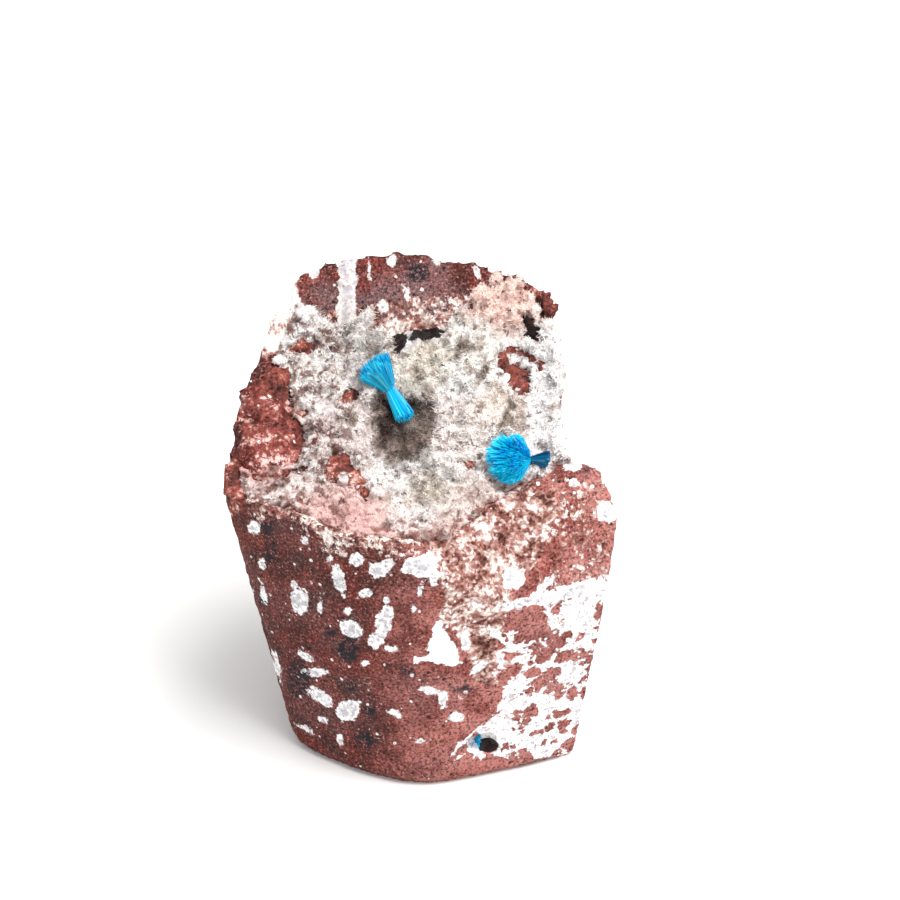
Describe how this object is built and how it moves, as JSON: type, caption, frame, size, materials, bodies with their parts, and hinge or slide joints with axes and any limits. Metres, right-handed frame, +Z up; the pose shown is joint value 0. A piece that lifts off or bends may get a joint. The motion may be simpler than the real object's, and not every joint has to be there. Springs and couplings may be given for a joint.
{
  "type": "cavansite mineral specimen",
  "caption": "Display mineral specimen: blue cavansite sprays on a druse of pale zeolite blades, lining an open vug in a trimmed block of red-brown altered basalt with white veins and amygdales",
  "frame": {"origin": "bottom centre of the specimen's bounding box, on the surface that it stands on", "axes": "+Z up, -Y towards the sawn front faces, +X to the right as seen from the front"},
  "size_m": [0.0438, 0.0357, 0.0521],
  "materials": {
    "altered_basalt": "sawn and broken red-brown altered basalt breccia, matte, with white zeolite veins and amygdales",
    "zeolite": "glassy, slightly translucent white to pinkish beige zeolite blades",
    "cavansite": "vitreous saturated turquoise-blue needles"
  },
  "bodies": {
    "root": {"matrix_rock": "altered_basalt", "crystal_crust": "zeolite", "cavansite_bowtie": "cavansite", "cavansite_rosette": "cavansite", "cavansite_speck": "cavansite"}
  },
  "joints": []
}
